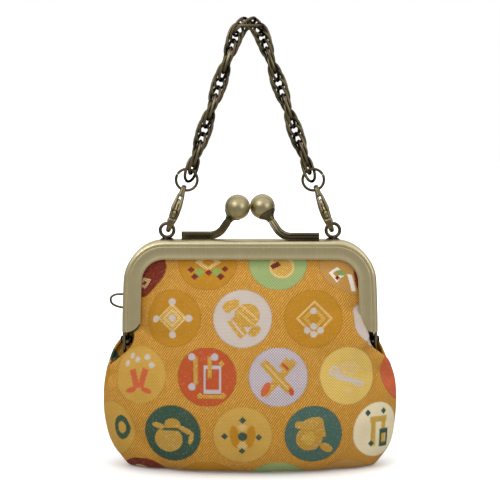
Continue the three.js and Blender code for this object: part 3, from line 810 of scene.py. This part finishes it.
CROSS = [(0, 5.6), (0, -5.6), (5.6, 0), (-5.6, 0), (0, 0)]
MEDALLIONS = [
    # A net of lozenges
    Medallion(0, -1, "gold", [
        lozenge(0, 0, 5, 5, 0, "straw"),
        lozenge(0, 0, 5, 5, 0, "pale", 0.84),
        lozenge(0, 0, 3.2, 3.2, 0, "pale", 0.72),
        *scattered(CROSS, 1.2, "lilac", "oval"),
    ]),
    # A mallet
    Medallion(0, 0, "lilac", [
        oval(1.5, 1, 4.2, 4),
        oval(1.6, 1.1, 3.2, 3, 0, "straw", 0.86),
        bar(2.4, 1.9, 3.3, 0.3, -42, "pale"),
        bar(1, 0.3, 3.3, 0.3, -42, "pale"),
        oval(-3.8, 4.5, 3, 1.7, 24),
        oval(-4.9, 3, 1.2, 1.2),
        bar(-1.7, -3, 3.5, 1.6, -52),
        bar(-1.7, -3, 3, 0.3, -52, "lilac"),
        oval(3.9, -4.2, 2.2, 1.5, 38),
    ]),
    # Lozenges with a cluster of stars
    Medallion(0, 1, "gold", [
        lozenge(0.3, 0, 6.2, 6.2, 0, "pale", 0.84),
        lozenge(0.3, 0, 4, 4, 0, "straw", 0.6),
        *scattered([(0, 2.5), (0, -2.7), (-2.2, -4), (2.2, -4), (0, -5.3)], 1.1, "lilac", "oval"),
    ]),
    # A pair of leaves
    Medallion(0, 2, "lilac", [
        oval(-1.5, 1.5, 4, 1.6, 35),
        oval(2.2, -2.4, 3.2, 1.4, -40),
    ]),
    Medallion(0, -2, "teal", [oval(0, 0, 4.2, 3, 20)]),
    # Coral
    Medallion(1, -2, "straw", [
        bar(-1.5, -1.4, 3.2, 1.2, 106, "coral"),
        bar(1.6, -1, 3.3, 1.1, 74, "coral"),
        oval(-2.9, -5.2, 2.2, 0.9, 18, "coral"),
        oval(2.7, -5, 2, 0.9, -18, "coral"),
        *scattered([(-0.8, 5), (3, 6), (-5.2, 3.4), (4.6, 3.4), (-3.6, 6)], 1, "lilac", "oval"),
    ], "cream", 0.25),
    # A key
    Medallion(1, -1, "red", [
        bar(1.8, -0.8, 2.9, 4.6, 0, "silver", 0.74),
        bar(-3.7, 2, 0.75, 4.4),
        bar(0.9, 3.2, 0.7, 3.4),
        bar(1.3, -6.4, 4.2, 0.6),
        *scattered([(-5, 6.5), (2.6, 6.5), (-4.9, -3.3)], 1.2, "silver", "oval"),
        *scattered([(4.9, 4.4), (-2.2, -6.2), (5.4, -6)], 1.1, "bright"),
    ]),
    # Crossed scrolls
    Medallion(1, 0, "lavender", [
        bar(0.3, -0.3, 7.4, 1.2, 48),
        bar(2.4, 4, 1.8, 1.5, 48, "straw"),
        bar(2.2, 3.4, 0.5, 1.5, 48, "red"),
        oval(-4.2, -4, 2.6, 1.2, 62, "coral"),
        bar(-0.6, 0.2, 6.5, 1.4, -47),
        bar(-0.6, 0.2, 5.8, 0.3, -47, "pale"),
        oval(4.2, -4.8, 0.9, 1.3, 20, "red"),
    ], "white", 0.7),
    # A clove
    Medallion(1, 1, "yellow", [
        oval(0.3, 2.2, 3.8, 2.6, 0, "pale"),
        oval(0.6, -1.5, 5.4, 0.8, -13, "lilac"),
        oval(-4.8, 1.6, 1.9, 1.5, 50, "lilac", 0.55),
        oval(-3, 0.4, 2.6, 0.6, -35, "lilac"),
        oval(3.8, -2.9, 2, 0.8, -5, "lilac", 0.5),
        lozenge(0, -4.8, 2, 1.2, 0, "pale"),
    ], "cream", 0.85),
    Medallion(1, 2, "coral", [oval(1, 0, 4, 2.5, 30)]),
    # A pouch
    Medallion(2, -1, "teal", [
        oval(-1.2, -1.8, 4.8, 4.4, 0, "straw"),
        oval(0.2, 3.2, 2.7, 2.2),
        bar(-0.4, 1.7, 3, 0.4, 0, "teal"),
        oval(-4.7, 2.8, 2.2, 0.9, -12, "straw"),
        oval(4.6, 1.5, 3, 0.9, -28, "straw"),
        oval(6.4, -1.4, 0.8, 2, -15, "straw"),
    ]),
    # A ring of jewels
    Medallion(2, 0, "straw", [
        oval(-2.6, -0.4, 1.5, 3.8, 8, "gold"),
        oval(2.6, -0.4, 1.5, 3.8, -8, "gold"),
        lozenge(0, 2.9, 1.6, 1.5, 0, "pale"),
        lozenge(0, -3.4, 1.9, 1.6, 0, "pale"),
        *scattered([(0, 5.2), (-5.9, -0.3), (5.3, -0.6), (-0.2, -5.3)], 1.2, "teal"),
        oval(0, -0.3, 1.5, 1.5, 0, "teal"),
    ], "cream", 0.35),
    # A mallet with a tassel
    Medallion(2, 1, "teal", [
        oval(-1.5, -1.2, 4.4, 4.2),
        oval(-0.6, 3.9, 3.8, 1.9, 14, "straw"),
        oval(-4.6, 3.4, 1.7, 1.3, 0, "straw"),
        oval(-1.5, -1.2, 2.2, 2, 0, "yellow"),
        bar(2.4, 1.6, 1.3, 2.6, 12),
        oval(4.3, -4.6, 2.4, 1.4, -32),
    ], "sea", 0.2),
    # Weights
    Medallion(2, 2, "cream", [
        bar(-1.8, -0.8, 0.9, 4.6, 0, "yellow"),
        bar(2.6, -0.8, 0.9, 4.6, 0, "yellow"),
        bar(0.4, 3.9, 3.6, 0.9, 0, "yellow"),
        bar(2.8, -2.8, 2, 3.2, 0, "teal", 0.5),
        *scattered([(-4.2, 6.3), (2.4, 6.5), (-2.6, -4.4)], 1.2, "teal"),
    ], "white", 1),
    Medallion(2, -2, "straw", [oval(4.6, 1, 3.2, 4.2, 0, "teal", 0.5)], "cream", 0.2),
    # Petals on red
    Medallion(3, -2, "dark_red", [
        lozenge(1.8, -4.6, 2.6, 2.2, 0, "pale", 0.4),
        oval(-2.4, -2.4, 2.4, 1.3, 40, "straw"),
        oval(0, 4, 2.6, 1.6, -30, "pale"),
    ]),
    # Berries
    Medallion(3, -1, "gold", [
        lozenge(0.2, 0.6, 4.4, 3.2, 0, "pale", 0.5),
        *scattered([(-2.7, -3.2), (3.1, -3.1)], 1.5, "green", "oval"),
        *scattered([(-5.4, -2.2), (-4.2, -4.9), (0.4, -3.4), (4.4, -4.9), (5.8, -2)], 1.3, "dark_red"),
    ]),
    # A wheel
    Medallion(3, 0, "green", [
        oval(1.3, -1.2, 4.2, 4.4, 0, "straw"),
        oval(1.3, -1.2, 4.2, 4.4, 0, "pale", 0.82),
        bar(-0.8, -0.6, 1.6, 0.9, 30, "dark_red"),
    ], "white", 0.22),
    # A fan
    Medallion(3, 1, "gold", [
        lozenge(-3.6, -3.4, 2.8, 3.6, 0, "white", 0.5),
        oval(-2.2, -2.6, 1.6, 1.4, 0, "green"),
        oval(4.8, -2.6, 2.2, 6, 18, "dark_red"),
        bar(1.7, -5, 0.9, 3, 22, "white"),
        lozenge(-3.4, -5.2, 1, 1, 0, "dark_red"),
    ], "white", 0.15),
    Medallion(3, 2, "green", [oval(0, 0, 4, 3, 20)]),
    # Plain discs, seen at the sides and on the back
    Medallion(0, 3, "straw", [lozenge(0, 0, 4.6, 4.6, 0, "coral", 0.5)], "cream", 0.35),
    Medallion(1, 3, "gold", [lozenge(0, 0, 5, 5, 0, "pale", 0.7)]),
    Medallion(2, 3, "red", [oval(0, 0, 4.2, 4.2, 0, "bright", 0.4)]),
    Medallion(3, 3, "lavender", [oval(0, 0, 4.6, 2.6, -30)], "white", 0.7),
]


def measured(x, y, middle, way):
    """How far a place lies from a middle along a way."""
    return x.math("MULTIPLY_ADD", way.x, y.math("MULTIPLY_ADD", way.y, -middle.dot(way)))


def figure_cover(x, y, figure):
    """1 where a figure's threads lie on top, 0 elsewhere."""
    turn = radians(figure.turn)
    middle = Vector((figure.x, figure.y))
    along = measured(x, y, middle, Vector((cos(turn), sin(turn))) / figure.length)
    across = measured(x, y, middle, Vector((-sin(turn), cos(turn))) / figure.width)
    if figure.shape == "oval":
        reach = along.math("MULTIPLY_ADD", along, across * across).math("SQRT")
    else:
        meeting = "MAXIMUM" if figure.shape == "bar" else "ADD"
        reach = along.math("ABSOLUTE").math(meeting, across.math("ABSOLUTE"))
    sharpness = min(figure.length, figure.width) / FIGURE_EDGE
    cover = reach.eased(-sharpness, sharpness + 0.5)
    if figure.hollow:
        cover = cover - reach.eased(-sharpness, sharpness * figure.hollow + 0.5)
    return cover


def brocade():
    """Twill with woven medallions: each one is a disc of its own colour with a few figures on it."""
    material, tree, shader = new_material("Brocade")
    cloth = add_node(tree, "ShaderNodeUVMap", {}, uv_map="cloth").outputs["UV"]
    parts = add_node(tree, "ShaderNodeSeparateXYZ", {"Vector": cloth}).outputs
    u = Field(parts["X"]) - PATTERN_X
    v = Field(parts["Y"])

    twill = (u * TWILL[0] - v * TWILL[1]).math("SINE").eased(0.5, 0.5)
    rising = ((u + v) * NET).math("SINE").math("ABSOLUTE")
    falling = ((u - v) * NET).math("SINE").math("ABSOLUTE")
    knots = rising * falling
    net = knots.eased(3.6, -0.65)
    dots = knots.eased(3.6, -1.8)
    satin = (v * SATIN).math("SINE").eased(0.5, 0.5)
    cells = {0: cloth, 1: (FLECK, FLECK, 1)}
    cell = add_node(tree, "ShaderNodeVectorMath", cells, operation="SNAP").outputs["Vector"]
    fleck = Field(add_node(tree, "ShaderNodeTexWhiteNoise", {"Vector": cell}).outputs["Value"])
    soft = add_node(tree, "ShaderNodeTexNoise", {"Vector": cloth, "Scale": 0.16, "Detail": 3})
    shade = Field(soft.outputs["Fac"])

    u = u.math("SNAP", THREAD)
    v = v.math("SNAP", THREAD)
    row = (v * (-1 / ROW_PITCH)).math("ROUND")
    stagger = row.math("FLOORED_MODULO", 2) * 0.5
    column = (u * (1 / COLUMN_PITCH) - stagger).math("ROUND")
    x = u - (column + stagger) * COLUMN_PITCH
    y = v + row * ROW_PITCH
    disc = figure_cover(x, y, oval(0, 0, MEDALLION_RADIUS, MEDALLION_RADIUS))
    row = row.math("FLOORED_MODULO", ROWS_BEFORE_REPEAT)
    column = column.math("FLOORED_MODULO", COLUMNS_BEFORE_REPEAT)
    in_row = [row.math("COMPARE", number, 0.1) * disc for number in range(ROWS_BEFORE_REPEAT)]
    in_column = [column.math("COMPARE", number, 0.1) for number in range(COLUMNS_BEFORE_REPEAT)]

    colour = paint(THREADS["ground"])
    shine = disc * 0
    for medallion in MEDALLIONS:
        chosen = in_row[medallion.row] * in_column[medallion.column % COLUMNS_BEFORE_REPEAT]
        colour = chosen.mix(colour, paint(THREADS[medallion.ground]))
        if medallion.share:
            netted = net * chosen * medallion.share
            colour = netted.mix(colour, paint(THREADS[medallion.net]))
        for figure in medallion.figures:
            cover = figure_cover(x, y, figure) * chosen
            if figure.thread == "pale":
                cover = cover * net.blend(0.25, 1)
            colour = cover.mix(colour, paint(THREADS[figure.thread]))
            if figure.thread in METAL_THREADS:
                shine = shine.math("MAXIMUM", cover)
            else:
                shine = shine - shine * cover

    rim = figure_cover(x, y, oval(0, 0, RIM_RADIUS, RIM_RADIUS, hollow=0.95))
    light = twill * disc.blend(0.75, 0.09) * fleck.blend(0.35, 1.25)
    colour = light.mix(colour, paint(THREADS["light"]))
    dark = twill.blend(1, 0) * disc.blend(0.45, 0.08) + (shade - 0.5) * 0.25 + rim * 0.2
    colour = dark.eased(1, 0).mix(colour, paint(THREADS["shadow"]))
    colour = (satin * disc * 0.2).mix(colour, paint(THREADS["satin"]))
    # Pale dots at the net's knots on the metal-thread figures: partly the weave, partly painted glints
    colour = (dots * shine * 0.42).mix(colour, paint(THREADS["glint"]))
    # Painted glints: bright flecks, strongest on the metal-thread figures and faint elsewhere
    painted_sparkle = fleck.eased(8, -7) * shine.blend(0.06, 0.31)
    colour = painted_sparkle.mix(colour, paint(THREADS["spark"]))
    fill(shader.inputs["Base Color"], colour)
    fill(shader.inputs["Metallic"], shine * 0.3)
    fill(shader.inputs["Roughness"], shine.blend(0.68, 0.48))
    fill(shader.inputs["Specular IOR Level"], 0.2)
    fill(shader.inputs["Sheen Weight"], 0.03)
    fill(shader.inputs["Sheen Roughness"], 0.4)
    height = twill * disc.blend(0.6, 0.2) + satin * disc * 0.5 + disc * 0.5 + fleck * 0.4
    relief = {"Height": height, "Strength": 0.35, "Distance": 0.1 * MM}
    bump = add_node(tree, "ShaderNodeBump", relief)
    fill(shader.inputs["Normal"], bump.outputs["Normal"])
    return material


bm = bmesh.new()
cloth_map = bm.loops.layers.uv.new("cloth")
for face in (-1, 1):
    sewn_panel(bm, face, cloth_map)
bmesh.ops.remove_doubles(bm, verts=bm.verts, dist=SEAM_WELD)
bag = made_piece(bm, "brocade_bag", ["bag"], [brocade()], crease=180)
wall = bag.modifiers.new("Cloth", "SOLIDIFY")
wall.thickness = CLOTH * MM
wall.offset = -1

# Clasps
# Each lobster clasp is cast brass: a hook with an eye at its end. A sprung lever on a pin in the
# body's slot shuts the hook, and its small tab is pushed with the thumb.
CAST_GRAIN = 0.13
CAST_PASSES = 24
CAST_SWELL = {"body": 0.3, "lever": 0.08}
# From the hook's end to the eye, equally spaced: how much of its width the casting keeps
CAST_WIDTHS = [0.72, 0.82, 0.9, 0.92, 0.9, 0.86, 0.86]
CAST_LEAN = radians(20.32)
CLASP_LENGTH = 16.2
HOOK_END_X = 27.678
HOOK_END_Z = -68.45
LEVER_PIN = 9.2
LEVER_TAIL = 1.6


def cast_form(node, swell):
    """A casting's rounded form: the CAD solid, remeshed finely and smoothed."""
    bm = bmesh.new()
    bm.from_mesh(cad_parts[node].data)
    bmesh.ops.remove_doubles(bm, verts=bm.verts, dist=WELD * MM)
    pattern = bpy.data.meshes.new(node + "_pattern")
    bm.to_mesh(pattern)
    bm.clear()
    rough = placed(node + "_pattern", pattern)
    remesh = rough.modifiers.new("Remesh", "REMESH")
    remesh.mode = "VOXEL"
    remesh.voxel_size = CAST_GRAIN * MM
    bm.from_mesh(rough.evaluated_get(bpy.context.evaluated_depsgraph_get()).to_mesh())
    bpy.data.objects.remove(rough)
    bpy.data.meshes.remove(pattern)
    bmesh.ops.scale(bm, vec=(1 / MM, 1 / MM, 1 / MM), verts=bm.verts)
    bm.normal_update()
    for vert in bm.verts:
        vert.co += vert.normal * swell
    axes = {"use_axis_x": True, "use_axis_y": True, "use_axis_z": True}
    for _ in range(CAST_PASSES):
        bmesh.ops.smooth_vert(bm, verts=bm.verts, factor=0.5, **axes)
    return bm


def slimmed(bm, hook_end, along):
    """Draws a casting in towards its hook and its eye, across the way that it points."""
    across = along.cross(Vector((0, 1, 0)))
    for vert in bm.verts:
        place = max((vert.co - hook_end).dot(along), 0) / CLASP_LENGTH * (len(CAST_WIDTHS) - 1)
        kept = smooth_between(CAST_WIDTHS, min(place, len(CAST_WIDTHS) - 1))
        vert.co -= across * (vert.co - hook_end).dot(across) * (1 - kept)


def lengthened(bm, hook_end, along):
    """Draws a lever's tail out beyond its pin."""
    rises = {vert: (vert.co - hook_end).dot(along) - LEVER_PIN for vert in bm.verts}
    top = max(rises.values())
    for vert, rise in rises.items():
        vert.co += along * LEVER_TAIL * max(rise, 0) / top


LEVER_FINISH = aged_brass("Rubbed brass", "b9ad84", "544b32")[0]
for side, way in (("left", 1), ("right", -1)):
    along = Vector((way * sin(CAST_LEAN), 0, cos(CAST_LEAN)))
    hook_end = Vector((-way * HOOK_END_X, 0, HOOK_END_Z))
    parts = [("body", HARDWARE_FINISH, "purse"), ("lever", LEVER_FINISH, f"{side}_lever")]
    for part, finish, body in parts:
        node = f"{side}_clasp_{part}"
        bm = cast_form(node, CAST_SWELL[part])
        if part == "lever":
            lengthened(bm, hook_end, along)
        slimmed(bm, hook_end, along)
        mark_grime(bm, gain=5.0, base=0.35)
        made_piece(bm, node + "_cast", [node], [finish], body, crease=180)

# Jump rings
# A ring of round brass wire, bent shut with a fine cut, joins each clasp to the end of the chain.
RING_WIRE = 0.48
RING_WIDER = 0.1
RING_SHARE = 0.994
for side, cut in (("left", 150), ("right", 30)):
    node = f"{side}_jump_ring"
    low, high = box_mm(node)
    bm = bmesh.new()
    radius = (high.z - low.z) / 2 - RING_WIRE + RING_WIDER
    wire_ring(bm, radius, RING_WIRE, RING_SHARE, steps=60)
    stand = Matrix.Rotation(pi / 2, 4, "X") @ Matrix.Rotation(radians(cut), 4, "Z")
    bmesh.ops.transform(bm, matrix=Matrix.Translation((low + high) / 2) @ stand, verts=bm.verts)
    mark_grime(bm, gain=2.0, base=0.5)
    made_piece(bm, node + "_wire", [node], [ARM_FINISH])

# Chain
# Oval links of dark bronze wire, each hooked through the third one before it and turned a little
# further, so that the chain twists like a rope. It stands as if a finger held its top.
CHAIN_LEAN = radians(18.81)
CHAIN_BEND = 3.6
CHAIN_BEND_Z = -1.2
CHAIN_TO_RING = 54.82
CHAIN_ASIDE = -0.5
LINKS = 41
LINK_WIRE = 0.52
LINK_SIDE = 2.2
LINK_OVAL = 0.5
LINK_HOOKED = 0.66
LINK_END_TURN = 40
LINK_HALF_TURNS = 7
LINK_STEPS = 24
LINK_GRIME = 1.3
LINK_RUBBED = 1.05
PITCH = (2 * CHAIN_TO_RING - LINK_HOOKED) / (LINKS - 1)
LINK_HALF_LENGTH = (3 * PITCH + LINK_HOOKED) / 2
TWIST = (LINK_HALF_TURNS * 180 - 2 * LINK_END_TURN) / (LINKS - 1)


def chain_place(distance):
    """A place on the chain's line, at a distance from its top; negative distances are on the left."""
    turn = min(abs(distance) / CHAIN_BEND, pi / 2 - CHAIN_LEAN)
    straight = abs(distance) - turn * CHAIN_BEND
    x = CHAIN_BEND * sin(turn) + straight * sin(CHAIN_LEAN)
    z = CHAIN_BEND_Z + CHAIN_BEND * cos(turn) - straight * cos(CHAIN_LEAN)
    aside = CHAIN_ASIDE * (1 - abs(distance) / CHAIN_TO_RING)
    return Vector((aside + (x if distance > 0 else -x), 0, z))


CHAIN_FINISH = aged_brass("Chain bronze", "908366", "0d0a06")[0]
bm = bmesh.new()
grime_and_shade = bm.verts.layers.float.new("grime_and_shade")
for number in range(LINKS):
    middle = (number - (LINKS - 1) / 2) * PITCH
    start = chain_place(middle - LINK_HALF_LENGTH)
    end = chain_place(middle + LINK_HALF_LENGTH)
    along = (end - start).normalized()
    across = along.cross(Vector((0, 1, 0)))
    axes = Matrix((across, along, (0, 1, 0))).transposed().to_4x4()
    twist = Matrix.Rotation(radians(LINK_END_TURN + number * TWIST), 4, "Y")
    link = wire_ring(bm, LINK_SIDE, LINK_WIRE, steps=LINK_STEPS, sides=8)
    bmesh.ops.rotate(bm, matrix=Matrix.Rotation(pi / LINK_STEPS, 3, "Z"), verts=link)
    for vert in link:
        endwise = vert.co.y / hypot(vert.co.x, vert.co.y)
        pulled = copysign(abs(endwise) ** LINK_OVAL, endwise)
        vert.co.y += (LINK_HALF_LENGTH - LINK_SIDE) * pulled
        outward = hypot(vert.co.x, vert.co.z) / (LINK_SIDE + LINK_WIRE)
        vert[grime_and_shade] = LINK_GRIME - LINK_RUBBED * outward
    placing = Matrix.Translation((start + end) / 2) @ axes @ twist
    bmesh.ops.transform(bm, matrix=placing, verts=link)
made_piece(bm, "rope_chain", ["chain"], [CHAIN_FINISH])

# Floor, light and camera
# A pale sweep under a bright, soft sky, with a large soft light from the upper left. The floor
# glows white to the camera, less near the purse. The camera stands a little above the purse,
# straight in front.
FLOOR_HALF = 3000
FLOOR_DROP = 0.05
floor_z = box_mm("bag")[0].z - FLOOR_DROP
bm = bmesh.new()
lying = Matrix.Translation((0, 0, floor_z * MM))
bmesh.ops.create_grid(bm, x_segments=2, y_segments=2, size=FLOOR_HALF * MM, matrix=lying)
floor_mesh = bpy.data.meshes.new("floor")
bm.to_mesh(floor_mesh)
bm.free()
floor = placed("floor", floor_mesh)
floor_material, floor_tree, floor_shader = new_material("Floor")
fill(floor_shader.inputs["Roughness"], 0.9)
fill(floor_shader.inputs["Emission Color"], paint("ffffff"))
spot = floor_tree.nodes.new("ShaderNodeTexCoord").outputs["Object"]
spot = add_node(floor_tree, "ShaderNodeVectorMath", {0: spot}, operation="LENGTH").outputs["Value"]
# Painted glow: the floor glows white to the camera only, faintly near the purse so that the shade
# there stays dark, and light rays meet a grey floor
far = Field(spot).eased(6, -0.95)
sighted = Field(floor_tree.nodes.new("ShaderNodeLightPath").outputs["Is Camera Ray"])
floor_colour = sighted.mix(paint("c4c4c4"), paint("ffffff"))
fill(floor_shader.inputs["Base Color"], floor_colour)
fill(floor_shader.inputs["Emission Strength"], far.blend(0.1, 0.8) * sighted)
floor_mesh.materials.append(floor_material)
floor.visible_glossy = False

world = bpy.data.worlds.new("Studio")
bpy.context.scene.world = world
world.use_nodes = True
sky = world.node_tree
background = sky.nodes["Background"]
sight = sky.nodes.new("ShaderNodeTexCoord").outputs["Generated"]
height = Field(add_node(sky, "ShaderNodeSeparateXYZ", {"Vector": sight}).outputs["Z"])
glow = height.eased(1.7, -0.25).mix(paint("a3a19a"), paint("ffffff"))
glow = height.eased(-1.5, -0.3).mix(glow, paint("b9b7b0"))
seen = Field(sky.nodes.new("ShaderNodeLightPath").outputs["Is Camera Ray"])
fill(background.inputs["Color"], seen.mix(glow, paint("ffffff")))

Lamp = namedtuple("Lamp", "name x y z size power")
LAMPS = [
    Lamp("key", -260, -420, 240, 320, 0.7),
    Lamp("fill", 380, -380, 60, 300, 0.36),
    Lamp("top", 0, -60, 420, 360, 0.9),
]
target = Vector((0, 0, -74.7))
for lamp in LAMPS:
    light = bpy.data.lights.new(lamp.name, "AREA")
    light.size = lamp.size * MM
    light.energy = lamp.power
    holder = placed(lamp.name, light)
    holder.location = Vector((lamp.x, lamp.y, lamp.z)) * MM
    aim = target * MM - holder.location
    holder.rotation_euler = aim.to_track_quat("-Z", "Y").to_euler()
    holder.visible_glossy = lamp.name != "top"

LENS = 100
SENSOR = 36
VIEW_WIDTH = 168.5
ELEVATION = radians(5.5)
distance = VIEW_WIDTH * LENS / SENSOR
camera_data = bpy.data.cameras.new("camera")
camera_data.lens = LENS
camera_data.sensor_width = SENSOR
camera = placed("camera", camera_data)
camera.location = (target + Vector((0, -cos(ELEVATION), sin(ELEVATION))) * distance) * MM
camera.rotation_euler = (pi / 2 - ELEVATION, 0, 0)
bpy.context.scene.camera = camera
bpy.context.scene.view_settings.view_transform = "Standard"
